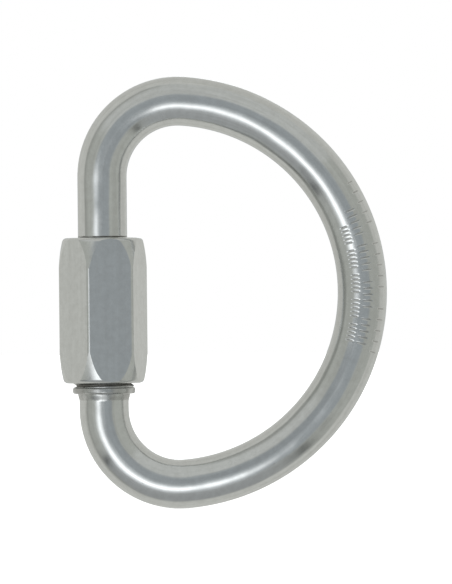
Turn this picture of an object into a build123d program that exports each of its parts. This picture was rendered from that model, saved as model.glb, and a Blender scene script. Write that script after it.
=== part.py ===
from build123d import *
import math
import os

# Half-moon screw link: a steel rod bent to a D, with a threaded gap in its straight side and a long
# hexagonal sleeve nut that bridges the gap.
#
# Millimetres. +Z runs up the thread axis, +X runs from the thread axis to the crown of the D, and -Y
# is the front. The origin is the centre of the link's overall box. Heights are measured from the
# link's middle, which is also its plane of symmetry apart from the gap and the nut.

# Rod and loop
ROD_DIAMETER = 10.0
INSIDE_HEIGHT = 68.0  # between the two bends, along Z
INSIDE_WIDTH = 42.8  # from the straight side to the crown, along X
BEND_RADIUS = 15.4  # of the rod's centreline, where the straight side turns into the crown

# Gate: the gap between the two threaded ends
GATE_OPENING = 12.0
UPPER_TIP_HEIGHT = -0.9
UPPER_THREAD_LENGTH = 9.0
LOWER_THREAD_LENGTH = 7.55  # with the collar
TIP_CHAMFER = 0.75
RUN_OUT_LENGTH = 0.6  # over which the ridge fades into the neck or the collar
COLLAR_DIAMETER = 12.7  # the plain end of the lower thread, which the nut tightens against
COLLAR_HEIGHT = 1.35
COLLAR_CHAMFER = 0.3
NECK_DIAMETER = 10.6
NECK_LENGTH = 1.6  # over which the neck tapers to the rod

# Thread: one right-handed 60 degree thread, in step on both ends and in the nut
THREAD_PITCH = 1.0
THREAD_DIAMETER = 12.4
THREAD_DEPTH = 0.61
CREST_WIDTH = THREAD_PITCH / 8
FLANK_ANGLE = 30.0
CREST_HEIGHT = 0.14  # height of one crest on the +X side of the axis
NUT_GROOVE_CLEARANCE = 0.16  # radial, so 0.08 mm square to the flanks
NUT_CREST_DIAMETER = 11.5
ROOT_BITE = 0.1  # how far a ridge is sunk into the core that it is joined to
TAP_OVERRUN = 1.0  # of the nut's thread past each end of the nut

# Sleeve nut, as it stands at rest: one and a half turns short of tight
NUT_LENGTH = 29.6
NUT_BOTTOM_HEIGHT = -18.3
ACROSS_FLATS = 16.0
FLAT_TURN = 12.2  # the front flat faces this far round from the front, towards +X
CORNER_ROUNDING = 0.9
BARREL_LENGTH = 9.7  # of each turned end
BARREL_RADIUS = 41.0
END_ROUNDING = 1.0
MOUTH_DIAMETER = 13.4
UPPER_MOUTH_DEPTH = 2.0  # deep enough to ride over the start of the bend
LOWER_MOUTH_DEPTH = 0.8

# Thread relief in the middle of the nut, and the band of the nut's wall that lines it
RELIEF_LENGTH = 6.0
RELIEF_DIAMETER = 13.1
BAND_THICKNESS = 0.4
BAND_PLAY = 0.05

# Stamped marks on the crown: three rows of plain bars, in groups of GROUP with one place left empty
# between groups. A row's heading is how far round the rod it lies from the front, towards the outside
# of the D. Its start and end are angles above the crown's middle.
MARK_DEPTH = 0.1
MARK_STROKE = 0.28
GROUP = 5
INNER_ROW = {"heading": -17.0, "start": -15.5, "end": 20.0, "places": 29, "height": 1.5}
FRONT_ROW = {"heading": 11.5, "start": -15.5, "end": 24.0, "places": 23, "height": 1.9}
OUTER_ROW = {"heading": 50.0, "start": -17.0, "end": 31.0, "places": 17, "height": 1.8}

rod_radius = ROD_DIAMETER / 2
thread_radius = THREAD_DIAMETER / 2
root_radius = thread_radius - THREAD_DEPTH

# The centreline is two bends and one crown arc, tangent to each other. Its width and height fix the
# crown's radius, and how far each bend turns.
width = INSIDE_WIDTH + ROD_DIAMETER
straight_half = (INSIDE_HEIGHT + ROD_DIAMETER) / 2 - BEND_RADIUS
spare_width = width - 2 * BEND_RADIUS
crown_radius = BEND_RADIUS + (straight_half**2 + spare_width**2) / (2 * spare_width)
bend_turn = 180 - math.degrees(math.asin(straight_half / (crown_radius - BEND_RADIUS)))
crown_turn = 360 - 2 * bend_turn

# The nut's rounded corner is the part's furthest point on one side, and the crown on the other.
corner_reach = (ACROSS_FLATS / 2 - CORNER_ROUNDING) / math.cos(math.radians(30))
nut_reach = corner_reach * math.cos(math.radians(FLAT_TURN)) + CORNER_ROUNDING
gate_x = (nut_reach - width - rod_radius) / 2
gate_axis = Axis((gate_x, 0, 0), (0, 0, 1))
crown_x = gate_x + width - crown_radius

lower_tip_height = UPPER_TIP_HEIGHT - GATE_OPENING
nut_top_height = NUT_BOTTOM_HEIGHT + NUT_LENGTH
nut_middle_height = NUT_BOTTOM_HEIGHT + NUT_LENGTH / 2


def helical_ridge(bottom, top, base_radius, crest_radius, crest_width):
    """A right-handed ridge about the gate axis that covers bottom to top, in step with CREST_HEIGHT."""
    start = CREST_HEIGHT + THREAD_PITCH * math.floor((bottom - CREST_HEIGHT) / THREAD_PITCH)
    turns = math.ceil((top - start) / THREAD_PITCH)
    half_crest = crest_width / 2
    half_base = half_crest + (crest_radius - base_radius) * math.tan(math.radians(FLANK_ANGLE))
    with BuildPart() as ridge:
        with BuildLine(Plane((gate_x, 0, start))):
            Helix(THREAD_PITCH, turns * THREAD_PITCH, base_radius)
        with BuildSketch(Plane.XZ):
            with BuildLine():
                Polyline(
                    (gate_x + base_radius, start - half_base),
                    (gate_x + crest_radius, start - half_crest),
                    (gate_x + crest_radius, start + half_crest),
                    (gate_x + base_radius, start + half_base),
                    close=True,
                )
            make_face()
        sweep(is_frenet=True)
    return ridge.part


def turned(*outline):
    """The solid of revolution about the gate axis of a closed outline of (radius, height) points."""
    with BuildPart() as body:
        with BuildSketch(Plane.XZ):
            with BuildLine():
                Polyline(*[(gate_x + r, z) for r, z in outline], close=True)
            make_face()
        revolve(axis=gate_axis)
    return body.part


def threaded_end(tip, length, way, collar_height):
    """The thread, collar and neck of one end of the rod. It rises from its tip if way is 1 and falls if
    it is -1. A collar_height of 0 leaves out the collar."""
    shank = tip + way * length
    run_out = shank - way * max(RUN_OUT_LENGTH, collar_height)
    ridge_end = run_out + way * RUN_OUT_LENGTH
    shoulder = shank + way * NECK_LENGTH
    neck_radius = NECK_DIAMETER / 2
    ridge_base = root_radius - ROOT_BITE
    crest_limit = thread_radius + ROOT_BITE  # beyond the ridge, so that the envelope only trims its ends
    with BuildPart() as end:
        add(turned((0, tip), (root_radius, tip), (root_radius, ridge_end), (0, ridge_end)))
        low, high = sorted((tip, ridge_end))
        add(helical_ridge(low, high, ridge_base, thread_radius, CREST_WIDTH))
        add(
            turned(
                (0, tip),
                (crest_limit - TIP_CHAMFER - ROOT_BITE, tip),
                (crest_limit, tip + way * (TIP_CHAMFER + ROOT_BITE)),
                (crest_limit, run_out),
                (neck_radius, ridge_end),
                (0, ridge_end),
            ),
            mode=Mode.INTERSECT,
        )
        if collar_height:
            collar_radius = COLLAR_DIAMETER / 2
            rim_radius = collar_radius - COLLAR_CHAMFER
            add(
                turned(
                    (0, run_out),
                    (rim_radius, run_out),
                    (collar_radius, run_out + way * COLLAR_CHAMFER),
                    (collar_radius, shank - way * COLLAR_CHAMFER),
                    (rim_radius, shank),
                    (0, shank),
                )
            )
        add(turned((0, shank), (neck_radius, shank), (rod_radius, shoulder), (0, shoulder)))
    return end.part


def mouth(end, depth, way):
    """A counterbore and its lead-in cone at one end of the nut. It goes up from the end if way is 1, and
    down if it is -1."""
    mouth_radius = MOUTH_DIAMETER / 2
    cone_radius = NUT_CREST_DIAMETER / 2 - ROOT_BITE
    shoulder = end + way * depth
    cone_end = shoulder + way * (mouth_radius - cone_radius)
    return turned(
        (0, end), (mouth_radius, end), (mouth_radius, shoulder), (cone_radius, cone_end), (0, cone_end)
    )


def mark_places(row):
    """The centres of one row's marks. Each has X round the rod, Y along it and Z out of it."""
    places = []
    for index in range(row["places"]):
        if index % (GROUP + 1) == GROUP:
            continue
        height_angle = row["start"] + (row["end"] - row["start"]) * index / (row["places"] - 1)
        on_centreline = Location((crown_x, 0, 0), (0, -height_angle, 0)) * Location((crown_radius, 0, 0))
        facing = Location((0, 0, 0), (0, 0, row["heading"])) * Location((0, 0, 0), (90, 0, 0))
        places.append(on_centreline * facing * Location((0, 0, rod_radius)))
    return places


# The rod: the loop from neck to neck, a threaded end on each arm of the gate, and the stamped marks.
with BuildPart() as link_body:
    with BuildLine(Plane.XZ) as centreline:
        lower_arm = Line(
            (gate_x, lower_tip_height - LOWER_THREAD_LENGTH - NECK_LENGTH),
            (gate_x, -straight_half),
        )
        lower_bend = JernArc(lower_arm @ 1, lower_arm % 1, BEND_RADIUS, bend_turn)
        crown = JernArc(lower_bend @ 1, lower_bend % 1, crown_radius, crown_turn)
        upper_bend = JernArc(crown @ 1, crown % 1, BEND_RADIUS, bend_turn)
        Line(upper_bend @ 1, (gate_x, UPPER_TIP_HEIGHT + UPPER_THREAD_LENGTH + NECK_LENGTH))
    with BuildSketch(Plane(centreline.line @ 0, z_dir=centreline.line % 0)):
        Circle(rod_radius)
    sweep(path=centreline.line)
    add(threaded_end(lower_tip_height, LOWER_THREAD_LENGTH, -1, COLLAR_HEIGHT))
    add(threaded_end(UPPER_TIP_HEIGHT, UPPER_THREAD_LENGTH, 1, 0))
    for row in (INNER_ROW, FRONT_ROW, OUTER_ROW):
        with Locations(*mark_places(row)):
            Box(row["height"], MARK_STROKE, 2 * MARK_DEPTH, mode=Mode.SUBTRACT)

# The nut's thread as a solid, from one end of the nut through to the other and a little past both.
nut_crest_radius = NUT_CREST_DIAMETER / 2
tap_bottom = NUT_BOTTOM_HEIGHT - TAP_OVERRUN
tap_top = nut_top_height + TAP_OVERRUN
with BuildPart() as tap:
    add(turned((0, tap_bottom), (nut_crest_radius, tap_bottom), (nut_crest_radius, tap_top), (0, tap_top)))
    ridge_base = nut_crest_radius - ROOT_BITE
    groove_radius = thread_radius + NUT_GROOVE_CLEARANCE
    add(helical_ridge(tap_bottom, tap_top, ridge_base, groove_radius, CREST_WIDTH))

# The nut: a hexagonal bar with turned barrel ends, bored, relieved in the middle and threaded.
with BuildPart() as sleeve_nut:
    with BuildSketch(Plane((gate_x, 0, NUT_BOTTOM_HEIGHT))) as hexagon:
        RegularPolygon(ACROSS_FLATS / 2, 6, major_radius=False, rotation=FLAT_TURN)
        fillet(hexagon.vertices(), CORNER_ROUNDING)
    extrude(amount=NUT_LENGTH)

    corner_radius = ACROSS_FLATS / 2 / math.cos(math.radians(30))
    barrel_drop = BARREL_RADIUS - math.sqrt(BARREL_RADIUS**2 - BARREL_LENGTH**2)
    end_radius = corner_radius - barrel_drop
    with BuildSketch(Plane.XZ) as barrel:
        with BuildLine():
            axis_side = Line((gate_x, nut_top_height), (gate_x, NUT_BOTTOM_HEIGHT))
            bottom_face = Line(axis_side @ 1, (gate_x + end_radius, NUT_BOTTOM_HEIGHT))
            side = Line(
                (gate_x + corner_radius, NUT_BOTTOM_HEIGHT + BARREL_LENGTH),
                (gate_x + corner_radius, nut_top_height - BARREL_LENGTH),
            )
            RadiusArc(bottom_face @ 1, side @ 0, -BARREL_RADIUS)
            top_face = Line((gate_x + end_radius, nut_top_height), axis_side @ 0)
            RadiusArc(side @ 1, top_face @ 0, -BARREL_RADIUS)
        make_face()
        fillet(barrel.vertices().group_by(Axis.X)[1], END_ROUNDING)
    revolve(axis=gate_axis, mode=Mode.INTERSECT)
    add(tap.part, mode=Mode.SUBTRACT)
    relief_bottom = nut_middle_height - RELIEF_LENGTH / 2
    relief_top = nut_middle_height + RELIEF_LENGTH / 2
    band_seat = RELIEF_DIAMETER / 2 + BAND_THICKNESS + BAND_PLAY
    add(
        turned((0, relief_bottom), (band_seat, relief_bottom), (band_seat, relief_top), (0, relief_top)),
        mode=Mode.SUBTRACT,
    )
    add(mouth(NUT_BOTTOM_HEIGHT, LOWER_MOUTH_DEPTH, 1), mode=Mode.SUBTRACT)
    add(mouth(nut_top_height, UPPER_MOUTH_DEPTH, -1), mode=Mode.SUBTRACT)

# The band: the innermost skin of the nut's relief, which slides with the nut and is round, so that it
# looks the same however far the nut has turned.
with BuildPart() as nut_relief_band:
    band_bottom = relief_bottom + BAND_PLAY
    band_top = relief_top - BAND_PLAY
    inner = RELIEF_DIAMETER / 2
    outer = inner + BAND_THICKNESS
    add(turned((inner, band_bottom), (outer, band_bottom), (outer, band_top), (inner, band_top)))

os.makedirs("parts", exist_ok=True)
link_body.part.label = "link_body"
export_step(link_body.part, "parts/link_body.step")
sleeve_nut.part.label = "sleeve_nut"
export_step(sleeve_nut.part, "parts/sleeve_nut.step")
nut_relief_band.part.label = "nut_relief_band"
export_step(nut_relief_band.part, "parts/nut_relief_band.step")
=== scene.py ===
import math

import bpy
import numpy as np
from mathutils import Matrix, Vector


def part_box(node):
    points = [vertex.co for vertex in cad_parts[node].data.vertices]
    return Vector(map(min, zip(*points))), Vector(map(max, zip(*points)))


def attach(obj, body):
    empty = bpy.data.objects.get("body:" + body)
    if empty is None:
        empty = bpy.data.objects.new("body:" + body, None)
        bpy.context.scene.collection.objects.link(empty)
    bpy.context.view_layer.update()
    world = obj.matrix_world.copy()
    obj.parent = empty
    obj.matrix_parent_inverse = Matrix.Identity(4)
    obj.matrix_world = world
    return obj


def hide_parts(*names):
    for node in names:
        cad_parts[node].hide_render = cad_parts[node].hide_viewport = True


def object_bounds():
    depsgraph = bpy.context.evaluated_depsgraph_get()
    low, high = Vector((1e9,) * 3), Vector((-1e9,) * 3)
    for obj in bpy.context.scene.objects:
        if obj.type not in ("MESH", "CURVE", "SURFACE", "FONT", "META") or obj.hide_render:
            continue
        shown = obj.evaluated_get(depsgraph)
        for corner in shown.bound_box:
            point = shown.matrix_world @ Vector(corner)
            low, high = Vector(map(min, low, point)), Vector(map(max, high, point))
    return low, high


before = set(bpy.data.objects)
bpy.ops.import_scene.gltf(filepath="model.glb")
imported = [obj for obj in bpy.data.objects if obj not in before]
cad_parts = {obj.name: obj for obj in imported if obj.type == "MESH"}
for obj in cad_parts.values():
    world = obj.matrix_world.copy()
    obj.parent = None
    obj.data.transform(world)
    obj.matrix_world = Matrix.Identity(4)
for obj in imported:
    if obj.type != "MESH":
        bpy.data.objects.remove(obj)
cad_low, cad_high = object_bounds()

# Sizes are metres in the CAD frame: +Z up the thread axis, +X towards the crown, -Y to the front.
MM = 0.001
ROD_RADIUS = 5.0 * MM
BEND_RADIUS = 15.4 * MM
STRAIGHT_HALF = 23.6 * MM

LOWER_TIP = -12.9 * MM
UPPER_TIP = -0.9 * MM
LOWER_THREAD = 7.55 * MM
UPPER_THREAD = 9.0 * MM
TIP_CHAMFER = 0.75 * MM
RUN_OUT = 0.6 * MM
COLLAR_RADIUS = 6.35 * MM
COLLAR_HEIGHT = 1.35 * MM
COLLAR_ROUNDING = 0.45 * MM
NECK_RADIUS = 5.3 * MM
NECK_LENGTH = 1.6 * MM
THREAD_PITCH = 1.0 * MM
THREAD_RADIUS = 6.2 * MM
THREAD_DEPTH = 0.61 * MM
CREST_WIDTH = THREAD_PITCH / 8
CREST_HEIGHT = 0.14 * MM
FLANK_SLOPE = math.tan(math.radians(60))  # radius lost for each metre along the axis

MARK_DEPTH = 0.1 * MM
MARK_STROKE = 0.28 * MM
MARK_EDGE = 0.1 * MM
GROUP = 5
INNER_ROW = {"heading": -17.0, "start": -15.5, "end": 20.0, "places": 29, "height": 1.5 * MM}
FRONT_ROW = {"heading": 11.5, "start": -15.5, "end": 24.0, "places": 23, "height": 1.9 * MM}
OUTER_ROW = {"heading": 50.0, "start": -17.0, "end": 31.0, "places": 17, "height": 1.8 * MM}

# The mesh of the rod: rings along it, and points round each ring
POINTS_ROUND = 132
PLAIN_STEP = 0.9 * MM
THREAD_STEP = 0.06 * MM
MARK_STEP = 0.11 * MM

link_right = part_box("link_body")[1].x
nut_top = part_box("sleeve_nut")[1].z
band_low, band_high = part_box("nut_relief_band")
gate_x = (band_low.x + band_high.x) / 2
width = link_right - ROD_RADIUS - gate_x
spare_width = width - 2 * BEND_RADIUS
crown_radius = BEND_RADIUS + (STRAIGHT_HALF**2 + spare_width**2) / (2 * spare_width)
bend_turn = math.pi - math.asin(STRAIGHT_HALF / (crown_radius - BEND_RADIUS))
crown_turn = 2 * math.pi - 2 * bend_turn

# The rod's centreline, from the lower tip down round the D to the upper tip. Each leg is its length
# and its turn.
lower_arm = LOWER_TIP + STRAIGHT_HALF
upper_arm = STRAIGHT_HALF - UPPER_TIP
legs = [
    (lower_arm, 0.0),
    (BEND_RADIUS * bend_turn, bend_turn),
    (crown_radius * crown_turn, crown_turn),
    (BEND_RADIUS * bend_turn, bend_turn),
    (upper_arm, 0.0),
]
leg_ends = np.cumsum([length for length, _ in legs])
leg_starts = leg_ends - [length for length, _ in legs]
rod_length = leg_ends[-1]
crown_middle = (leg_starts[2] + leg_ends[2]) / 2


def centreline(along):
    """The rod's centreline at these distances from its lower tip, as (x, z, angle from +X towards +Z)."""
    x, z, angle = gate_x, LOWER_TIP, -math.pi / 2
    out = np.zeros((len(along), 3))
    for (length, turn), start, end in zip(legs, leg_starts, leg_ends):
        here = (along >= start) & (along <= end)
        run = along[here] - start
        if turn:
            radius = length / turn
            a = angle + run / radius
            out[here] = np.stack(
                [
                    x + radius * (np.sin(a) - math.sin(angle)),
                    z - radius * (np.cos(a) - math.cos(angle)),
                    a,
                ],
                axis=1,
            )
            x += radius * (math.sin(angle + turn) - math.sin(angle))
            z -= radius * (math.cos(angle + turn) - math.cos(angle))
            angle += turn
        else:
            out[here] = np.stack(
                [x + run * math.cos(angle), z + run * math.sin(angle), np.full(len(run), angle)],
                axis=1,
            )
            x += length * math.cos(angle)
            z += length * math.sin(angle)
    return out


def smooth(x):
    x = np.clip(x, 0, 1)
    return x * x * (3 - 2 * x)


def thread_radius(height, heading):
    """Radius of the screw thread at a height on the gate axis and a heading about it, counted from +X."""
    turn = (height - CREST_HEIGHT) / THREAD_PITCH - heading / (2 * math.pi)
    off_crest = np.abs(turn - np.round(turn)) * THREAD_PITCH
    drop = np.clip((off_crest - CREST_WIDTH / 2) * FLANK_SLOPE, 0, THREAD_DEPTH)
    return THREAD_RADIUS - drop


def end_radius(from_tip, height, heading, length, collar_height):
    """Radius of a threaded end, its collar and its neck, at a distance from its tip."""
    ridge_end = length - max(RUN_OUT, collar_height) + RUN_OUT
    chamfer = THREAD_RADIUS - TIP_CHAMFER + from_tip
    run_out = NECK_RADIUS + (THREAD_RADIUS - NECK_RADIUS) * (ridge_end - from_tip) / RUN_OUT
    thread = np.minimum(thread_radius(height, heading), np.minimum(chamfer, run_out))
    thread = np.maximum(thread, np.minimum(THREAD_RADIUS - THREAD_DEPTH, chamfer))
    from_edge = np.minimum(from_tip - (length - collar_height), length - from_tip)
    inset = np.clip(COLLAR_ROUNDING - from_edge, 0, COLLAR_ROUNDING)
    collar = COLLAR_RADIUS - COLLAR_ROUNDING + np.sqrt(COLLAR_ROUNDING**2 - inset**2)
    thread = np.where(from_edge > 0, collar, thread)
    neck = ROD_RADIUS + (NECK_RADIUS - ROD_RADIUS) * (1 - smooth((from_tip - length) / NECK_LENGTH))
    return np.where(from_tip < length, thread, neck)


def mark_depth(along, heading):
    """Depth of the stamped bars at a distance along the rod and a heading round it from the front."""
    depth = np.zeros(np.broadcast(along, heading).shape)
    for row in (INNER_ROW, FRONT_ROW, OUTER_ROW):
        start = crown_middle + crown_radius * math.radians(row["start"])
        end = crown_middle + crown_radius * math.radians(row["end"])
        pitch = (end - start) / (row["places"] - 1)
        index = np.clip(np.round((along - start) / pitch), 0, row["places"] - 1)
        off_bar = np.abs(along - start - index * pitch)
        turn = heading - math.radians(row["heading"])
        off_row = np.abs(np.arctan2(np.sin(turn), np.cos(turn))) * ROD_RADIUS
        inside = smooth((MARK_STROKE / 2 - off_bar) / MARK_EDGE + 0.5)
        inside = inside * smooth((row["height"] / 2 - off_row) / MARK_EDGE + 0.5)
        depth = np.maximum(depth, np.where(index % (GROUP + 1) == GROUP, 0, inside * MARK_DEPTH))
    return depth


def ring_places():
    """Distances along the rod of the mesh's rings, which are close on the threads and the marks."""
    mark_low = crown_middle + crown_radius * math.radians(OUTER_ROW["start"] - 2)
    mark_high = crown_middle + crown_radius * math.radians(OUTER_ROW["end"] + 2)
    stops = [
        (0.0, THREAD_STEP),
        (LOWER_THREAD + NECK_LENGTH, PLAIN_STEP),
        (mark_low, MARK_STEP),
        (mark_high, PLAIN_STEP),
        (rod_length - UPPER_THREAD - NECK_LENGTH, THREAD_STEP),
        (rod_length, None),
    ]
    places = [np.zeros(1)]
    for (start, step), (end, _) in zip(stops, stops[1:]):
        count = math.ceil((end - start) / step)
        places.append(start + (end - start) * np.arange(1, count + 1) / count)
    return np.concatenate(places)


def make_rod():
    along = ring_places()
    line = centreline(along)
    heading = np.arange(POINTS_ROUND) * 2 * math.pi / POINTS_ROUND
    # Each ring's headings run from the front (-Y) towards the outside of the D.
    outward = np.stack([np.sin(line[:, 2]), np.zeros(len(along)), -np.cos(line[:, 2])], axis=1)
    s, h = np.meshgrid(along, heading, indexing="ij")
    radius = ROD_RADIUS - mark_depth(s, h)
    # On the gate's arms the outside of the D is -X.
    about_gate = np.arctan2(-np.cos(h), -np.sin(h))
    lower = s < LOWER_THREAD + NECK_LENGTH
    lower_end = end_radius(s, LOWER_TIP - s, about_gate, LOWER_THREAD, COLLAR_HEIGHT)
    radius = np.where(lower, lower_end, radius)
    from_top = rod_length - s
    upper = from_top < UPPER_THREAD + NECK_LENGTH
    upper_end = end_radius(from_top, UPPER_TIP + from_top, about_gate, UPPER_THREAD, 0)
    radius = np.where(upper, upper_end, radius)
    centre = np.stack([line[:, 0], np.zeros(len(along)), line[:, 1]], axis=1)
    front = np.array([0.0, -1.0, 0.0])
    points = centre[:, None, :] + radius[:, :, None] * (
        np.cos(h)[:, :, None] * front + np.sin(h)[:, :, None] * outward[:, None, :]
    )
    rings = len(along)
    vertices = list(points.reshape(-1, 3)) + [centre[0], centre[-1]]
    faces = []
    for i in range(rings - 1):
        for j in range(POINTS_ROUND):
            k = (j + 1) % POINTS_ROUND
            a, b = i * POINTS_ROUND, (i + 1) * POINTS_ROUND
            faces.append((a + j, b + j, b + k, a + k))
    low_centre, high_centre = rings * POINTS_ROUND, rings * POINTS_ROUND + 1
    last = (rings - 1) * POINTS_ROUND
    for j in range(POINTS_ROUND):
        k = (j + 1) % POINTS_ROUND
        faces.append((low_centre, j, k))
        faces.append((high_centre, last + k, last + j))
    mesh = bpy.data.meshes.new("screw_link_rod")
    mesh.from_pydata(vertices, [], faces)
    mesh.polygons.foreach_set("use_smooth", [len(f) == 4 for f in faces])
    # The drawn grain of the bar is laid out on the bar before it was bent.
    unbent = mesh.attributes.new("unbent", "FLOAT_VECTOR", "POINT")
    straight = np.stack([radius * np.cos(h), radius * np.sin(h), s], axis=2).reshape(-1, 3)
    straight = np.vstack([straight, [[0, 0, 0], [0, 0, rod_length]]])
    unbent.data.foreach_set("vector", straight.astype(np.float32).ravel())
    mesh.update()
    rod = bpy.data.objects.new("screw_link_rod", mesh)
    bpy.context.scene.collection.objects.link(rod)
    return rod


rod = make_rod()
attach(rod, "link")
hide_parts("link_body")


# Helpers for node trees
def node(tree, kind, **values):
    """A new node, with its sockets or its settings of these names set."""
    made = tree.nodes.new(kind)
    for key, value in values.items():
        if key in made.inputs:
            made.inputs[key].default_value = value
        else:
            setattr(made, key, value)
    return made


def join(tree, socket, value):
    """Feeds a socket from another socket, a number or a colour."""
    if isinstance(value, (int, float)):
        socket.default_value = value
    elif isinstance(value, tuple):
        socket.default_value = (*value, 1) if len(socket.default_value) == 4 else value
    else:
        tree.links.new(value, socket)


def maths(tree, operation, *values):
    made = node(tree, "ShaderNodeMath", operation=operation)
    for socket, value in zip(made.inputs, values):
        join(tree, socket, value)
    return made.outputs[0]


def dot(tree, vector, direction):
    made = node(tree, "ShaderNodeVectorMath", operation="DOT_PRODUCT")
    join(tree, made.inputs[0], vector)
    join(tree, made.inputs[1], direction)
    return made.outputs["Value"]


def ramped(tree, value, low, high, to_low=0.0, to_high=1.0):
    """to_low where value is low and to_high where it is high, with a smooth change between."""
    made = node(tree, "ShaderNodeMapRange", interpolation_type="SMOOTHSTEP")
    for name, number in (("From Min", low), ("From Max", high), ("To Min", to_low), ("To Max", to_high)):
        made.inputs[name].default_value = number
    join(tree, made.inputs["Value"], value)
    return made.outputs[0]


def bell(tree, value, centre, width):
    """1 where value is centre, falling off on both sides as a bell curve."""
    off = maths(tree, "DIVIDE", maths(tree, "SUBTRACT", value, centre), width)
    return maths(tree, "EXPONENT", maths(tree, "MULTIPLY", maths(tree, "MULTIPLY", off, off), -1.0))


def mixed(tree, factor, first, second):
    """The first colour where factor is 0, the second where it is 1."""
    made = node(tree, "ShaderNodeMix", data_type="RGBA")
    join(tree, made.inputs[0], factor)
    join(tree, made.inputs[6], first)
    join(tree, made.inputs[7], second)
    return made.outputs[2]


def noise(tree, coordinates, scale, detail, roughness):
    made = node(tree, "ShaderNodeTexNoise", Scale=scale, Detail=detail, Roughness=roughness)
    join(tree, made.inputs["Vector"], coordinates)
    return made.outputs[0]


def bumped(tree, height, distance, normal=None):
    made = node(tree, "ShaderNodeBump", Strength=1.0, Distance=distance)
    join(tree, made.inputs["Height"], height)
    if normal:
        join(tree, made.inputs["Normal"], normal)
    return made.outputs[0]


# Bright zinc plate on steel
PLATE_DULL = (0.63, 0.637, 0.625)
PLATE_BRIGHT = (0.69, 0.70, 0.69)
GRIME_AND_SHADE = (0.10, 0.088, 0.07)
GRIME_AND_SHADE_ROUGHNESS = 0.6
GRAIN_STRETCH = 0.025
WAVE_SCALE = 85.0
MOTTLE_SCALE = 700.0
MOTTLE_HEIGHT = 0.004 * MM
PIT_SCALE = 600.0
PIT_SIZE = 0.11  # as a share of the pits' spacing
PIT_GRIME = 0.6

# Where painted shade (in the thread roots, in the marks, as a line above the nut) and a grime stain darken
# the rod, and how much of the plate's tone each hides
ROOT_SHADE = 0.68
MARK_SHADE = 0.35
STAIN_GRIME = 0.3
STAIN_LENGTH = 1.2 * MM  # down the neck from the collar
STAIN_FADE = 0.2 * MM
PATCH_SCALE = 500.0
NUT_SHADOW_HEIGHT = 0.15 * MM  # how far above the nut's top the painted shadow line lies
NUT_SHADOW_WIDTH = 0.16 * MM


def zinc_plate(name, coordinates_of, gloss, wave_height, grain_height, grain_scale, streak_tone):
    """Zinc plate whose tone and gloss vary, with drawn grain, waves left by the forming, and a few pits.
    coordinates_of makes the surface's coordinates, with z along the grain, and its mask of grime and painted
    shade, from 0 to 1."""
    material = bpy.data.materials.new(name)
    material.use_nodes = True
    tree = material.node_tree
    tree.nodes.clear()
    coordinates, grime_and_shade = coordinates_of(tree)

    stretch = node(tree, "ShaderNodeMapping", Scale=(1.0, 1.0, GRAIN_STRETCH))
    join(tree, stretch.inputs["Vector"], coordinates)
    grain = noise(tree, stretch.outputs[0], grain_scale, 4.0, 0.65)
    streaks = noise(tree, stretch.outputs[0], grain_scale / 5, 2.0, 0.5)
    waves = noise(tree, coordinates, WAVE_SCALE, 1.0, 0.4)
    mottle = noise(tree, coordinates, MOTTLE_SCALE, 5.0, 0.7)
    pits = node(tree, "ShaderNodeTexVoronoi", Scale=PIT_SCALE)
    join(tree, pits.inputs["Vector"], coordinates)
    pit_size = maths(tree, "MULTIPLY", ramped(tree, pits.outputs["Color"], 0.72, 1.0), PIT_SIZE)
    pit = maths(tree, "LESS_THAN", pits.outputs["Distance"], pit_size)

    tone = mixed(tree, ramped(tree, mottle, 0.3, 0.7), PLATE_DULL, PLATE_BRIGHT)
    tone = mixed(tree, ramped(tree, streaks, 0.6, 0.4, 0.0, streak_tone), tone, GRIME_AND_SHADE)
    tone = mixed(tree, maths(tree, "MULTIPLY", pit, PIT_GRIME), tone, GRIME_AND_SHADE)
    # painted shade in the thread roots, the marks and a line above the nut darkens the plate here, as does a
    # grime stain on the collar and neck
    tone = mixed(tree, grime_and_shade, tone, GRIME_AND_SHADE)
    roughness = ramped(tree, grain, 0.3, 0.7, *gloss)
    roughness = mixed(tree, grime_and_shade, roughness, (GRIME_AND_SHADE_ROUGHNESS,) * 3)

    normal = bumped(tree, waves, wave_height)
    normal = bumped(tree, streaks, 4 * grain_height, normal)
    normal = bumped(tree, grain, grain_height, normal)
    normal = bumped(tree, mottle, MOTTLE_HEIGHT, normal)
    shader = node(tree, "ShaderNodeBsdfPrincipled", Metallic=1.0)
    join(tree, shader.inputs["Base Color"], tone)
    join(tree, shader.inputs["Roughness"], roughness)
    join(tree, shader.inputs["Normal"], normal)
    out = node(tree, "ShaderNodeOutputMaterial")
    join(tree, out.inputs["Surface"], shader.outputs[0])
    return material


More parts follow.
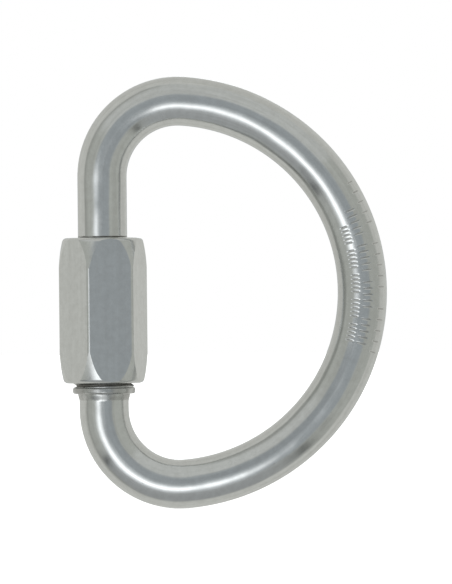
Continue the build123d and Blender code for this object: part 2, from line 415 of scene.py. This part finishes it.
def bar_coordinates(tree):
    """The rod as a straight bar. Painted shade darkens its thread roots, its marks and a line at the nut's
    top, and its grime lies as a stain on the collar and the neck."""
    coordinates = node(tree, "ShaderNodeAttribute", attribute_name="unbent").outputs["Vector"]
    parts = node(tree, "ShaderNodeSeparateXYZ")
    join(tree, parts.inputs[0], coordinates)
    x, y, along = parts.outputs
    x_squared = maths(tree, "MULTIPLY", x, x)
    y_squared = maths(tree, "MULTIPLY", y, y)
    across = maths(tree, "SQRT", maths(tree, "ADD", x_squared, y_squared))
    from_upper = maths(tree, "SUBTRACT", rod_length, along)
    to_tip = maths(tree, "MINIMUM", along, from_upper)
    on_thread = maths(tree, "LESS_THAN", to_tip, LOWER_THREAD)
    # painted shade in the thread roots
    in_root = ramped(tree, across, THREAD_RADIUS - 0.15 * MM, THREAD_RADIUS - THREAD_DEPTH)
    in_root = maths(tree, "MULTIPLY", maths(tree, "MULTIPLY", in_root, on_thread), ROOT_SHADE)
    # painted shade in the stamped marks
    in_mark = ramped(tree, across, ROD_RADIUS - 0.3 * MARK_DEPTH, ROD_RADIUS - MARK_DEPTH)
    grime_and_shade = maths(tree, "MAXIMUM", in_root, maths(tree, "MULTIPLY", in_mark, MARK_SHADE))
    patches = ramped(tree, noise(tree, coordinates, PATCH_SCALE, 3.0, 0.6), 0.35, 0.6, 0.25, 1.0)
    # a painted shadow line on the rod just above the nut's top
    nut_shadow = bell(tree, from_upper, nut_top - UPPER_TIP + NUT_SHADOW_HEIGHT, NUT_SHADOW_WIDTH)
    grime_and_shade = maths(tree, "MAXIMUM", grime_and_shade, maths(tree, "MULTIPLY", nut_shadow, patches))
    stain_end = LOWER_THREAD + STAIN_LENGTH
    on_collar_or_neck = maths(tree, "GREATER_THAN", along, LOWER_THREAD - COLLAR_HEIGHT)
    stain = maths(tree, "MULTIPLY", ramped(tree, along, stain_end + STAIN_FADE, stain_end), on_collar_or_neck)
    stain = maths(tree, "MULTIPLY", maths(tree, "MULTIPLY", stain, patches), STAIN_GRIME)
    return coordinates, maths(tree, "MAXIMUM", grime_and_shade, stain)


def nut_coordinates(tree):
    """The hexagonal bar, which has no grime."""
    return node(tree, "ShaderNodeTexCoord").outputs["Object"], 0.0


rod_metal = zinc_plate(
    "zinc_plated_rod",
    bar_coordinates,
    gloss=(0.13, 0.2),
    wave_height=0.5 * MM,
    grain_height=0.0025 * MM,
    grain_scale=3500.0,
    streak_tone=0.1,
)
nut_metal = zinc_plate(
    "zinc_plated_nut",
    nut_coordinates,
    gloss=(0.14, 0.22),
    wave_height=0.12 * MM,
    grain_height=0.0006 * MM,
    grain_scale=5000.0,
    streak_tone=0.03,
)
rod.data.materials.append(rod_metal)
for name in ("sleeve_nut", "nut_relief_band"):
    for material_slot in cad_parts[name].material_slots:
        material_slot.material = nut_metal


# Camera: level, square to the D, and far off, as with a long lens
VIEW_HEIGHT = 118.941 * MM
SENSOR = 36.0
CAMERA_DISTANCE = 1.2
CAMERA_ACROSS = 0.59 * MM
CAMERA_ROLL = 0.57  # degrees
camera_data = bpy.data.cameras.new("camera")
camera = bpy.data.objects.new("camera", camera_data)
bpy.context.scene.collection.objects.link(camera)
bpy.context.scene.camera = camera
camera_data.sensor_width = SENSOR
camera_data.lens = SENSOR * CAMERA_DISTANCE / VIEW_HEIGHT
camera.location = (CAMERA_ACROSS, -CAMERA_DISTANCE, 0.0)
camera.rotation_euler = (math.radians(90), math.radians(CAMERA_ROLL), 0)
camera_data.clip_end = 10.0

# Studio. Directions round the object are given by two angles in degrees: how far off the lens's
# direction they are, and where they lie round it, from +X towards +Z.
WALL_EDGE = 3.0  # half the width of the blurred edge of the front wall
FRONT_WALL = (0.39, 0.422, 0.442)
FRONT_WALL_REACH = 36.0
FRONT_WALL_DROP = 3.0
SIDE_WALL = (0.51, 0.525, 0.495)
LOW_WALL = (0.42, 0.438, 0.445)
LOW_WALL_MIDDLE = 258.0
PANEL = (0.625, 0.64, 0.625)
PANEL_MIDDLE = 94.0

BACK_WALL = (0.66, 0.665, 0.635)
BACK_WALL_FROM = 92.0
SEAM = (0.40, 0.41, 0.39)
SEAM_MIDDLE = 172.0
BACK_ROOM = (0.38, 0.40, 0.41)
BACK_ROOM_FROM = 158.0
BACK_LAMP_PLACE = (168.0, 80.0)
BACK_LAMP_WIDTH = 6.0

# Each stand is its direction round the lens, its width, how far off the lens it starts and ends, and
# how much of the wall it hides.
STAND = (0.04, 0.043, 0.047)
STANDS = [(216, 0.045, 36, 96, 1.0), (310, 0.08, 38, 84, 0.7)]
STAND_FADE = 8

# The lamp is an arc about LAMP_CENTRE with a soft glow round it.
LAMP = (1.85, 1.9, 1.95)
LAMP_CENTRE = (5.0, 190.0)
LAMP_MIDDLE = 236.0
LAMP_REACH = 22.0
LAMP_WIDTH = 10.0
GLOW = (0.75, 0.78, 0.80)
GLOW_WIDTH = 24.0
GLOW_STRENGTH = 0.5


def toward(round_lens):
    angle = math.radians(round_lens)
    return (math.cos(angle), 0.0, math.sin(angle))


def from_lens(off_lens, round_lens):
    off = math.radians(off_lens)
    x, _, z = toward(round_lens)
    return (math.sin(off) * x, -math.cos(off), math.sin(off) * z)


def off_axis(tree, direction, axis):
    """Degrees between the direction and an axis."""
    return maths(tree, "DEGREES", maths(tree, "ARCCOSINE", dot(tree, direction, axis)))


def surround():
    """The world that the metal mirrors: walls, a pale panel overhead, stands, a lamp in an arc low at the
    left, and a darker room behind with a small lamp of its own. The lens sees plain white."""
    world = bpy.data.worlds.new("studio")
    bpy.context.scene.world = world
    world.use_nodes = True
    tree = world.node_tree
    tree.nodes.clear()
    direction = node(tree, "ShaderNodeTexCoord").outputs["Generated"]
    off_lens = off_axis(tree, direction, (0.0, -1.0, 0.0))
    reach = maths(tree, "MAXIMUM", maths(tree, "SINE", maths(tree, "RADIANS", off_lens)), 0.001)

    def around(angle):
        """Cosine of the angle round the lens from the direction to this one."""
        return maths(tree, "DIVIDE", dot(tree, direction, toward(angle)), reach)

    walls = mixed(tree, ramped(tree, around(LOW_WALL_MIDDLE), 0.55, 0.85), SIDE_WALL, LOW_WALL)
    walls = mixed(tree, ramped(tree, around(PANEL_MIDDLE), 0.585, 0.63), walls, PANEL)
    for angle, stand_width, start, end, depth in STANDS:
        stand = bell(tree, around(angle + 90), 0, stand_width)
        stand = maths(tree, "MULTIPLY", stand, ramped(tree, around(angle), 0.5, 0.6))
        stand = maths(tree, "MULTIPLY", stand, ramped(tree, off_lens, start, start + STAND_FADE))
        stand = maths(tree, "MULTIPLY", stand, ramped(tree, off_lens, end, end - STAND_FADE))
        walls = mixed(tree, maths(tree, "MULTIPLY", stand, depth), walls, STAND)
    off_front = off_axis(tree, direction, from_lens(FRONT_WALL_DROP, PANEL_MIDDLE + 180))
    past_front = ramped(tree, off_front, FRONT_WALL_REACH - WALL_EDGE, FRONT_WALL_REACH + WALL_EDGE)
    colour = mixed(tree, past_front, FRONT_WALL, walls)

    seam = bell(tree, off_lens, BACK_WALL_FROM - 7, 5)
    seam = maths(tree, "MULTIPLY", seam, ramped(tree, around(SEAM_MIDDLE), 0.2, 0.5))
    colour = mixed(tree, seam, colour, SEAM)
    on_back = ramped(tree, off_lens, BACK_WALL_FROM - 6, BACK_WALL_FROM + 3)
    colour = mixed(tree, on_back, colour, BACK_WALL)
    in_back_room = ramped(tree, off_lens, BACK_ROOM_FROM, BACK_ROOM_FROM + 8)
    colour = mixed(tree, in_back_room, colour, BACK_ROOM)
    off_back_lamp = off_axis(tree, direction, from_lens(*BACK_LAMP_PLACE))
    colour = mixed(tree, bell(tree, off_back_lamp, 0, BACK_LAMP_WIDTH), colour, LAMP)

    off_arc = off_axis(tree, direction, from_lens(*LAMP_CENTRE))
    beside_lamp = ramped(tree, around(LAMP_MIDDLE), 0.3, 0.8)
    for light, light_width, strength in ((GLOW, GLOW_WIDTH, GLOW_STRENGTH), (LAMP, LAMP_WIDTH, 1.0)):
        arc = maths(tree, "MULTIPLY", bell(tree, off_arc, LAMP_REACH, light_width), beside_lamp)
        colour = mixed(tree, maths(tree, "MULTIPLY", arc, strength), colour, light)

    mirrored = node(tree, "ShaderNodeBackground", Strength=1.0)
    join(tree, mirrored.inputs["Color"], colour)
    seen = node(tree, "ShaderNodeBackground", Strength=1.0, Color=(1, 1, 1, 1))
    both = node(tree, "ShaderNodeMixShader")
    join(tree, both.inputs[0], node(tree, "ShaderNodeLightPath").outputs["Is Camera Ray"])
    join(tree, both.inputs[1], mirrored.outputs[0])
    join(tree, both.inputs[2], seen.outputs[0])
    join(tree, node(tree, "ShaderNodeOutputWorld").inputs["Surface"], both.outputs[0])


FLOOR_HALF = 3.0
FLOOR_GLOW = 0.8
FLOOR_TONE = (0.9, 0.9, 0.9, 1)


def make_floor():
    mesh = bpy.data.meshes.new("floor")
    corners = [(FLOOR_HALF * x, FLOOR_HALF * y, cad_low.z) for x, y in ((-1, -1), (1, -1), (1, 1), (-1, 1))]
    mesh.from_pydata(corners, [], [(0, 1, 2, 3)])
    floor = bpy.data.objects.new("floor", mesh)
    bpy.context.scene.collection.objects.link(floor)
    floor.visible_glossy = False
    material = bpy.data.materials.new("floor")
    material.use_nodes = True
    tree = material.node_tree
    tree.nodes.clear()
    out = node(tree, "ShaderNodeOutputMaterial")
    glow = node(tree, "ShaderNodeEmission", Strength=FLOOR_GLOW)
    matte = node(tree, "ShaderNodeBsdfDiffuse", Color=FLOOR_TONE)
    both = node(tree, "ShaderNodeAddShader")
    tree.links.new(glow.outputs[0], both.inputs[0])
    tree.links.new(matte.outputs[0], both.inputs[1])
    tree.links.new(both.outputs[0], out.inputs["Surface"])
    mesh.materials.append(material)


surround()
make_floor()

bpy.context.scene.view_settings.view_transform = "Standard"
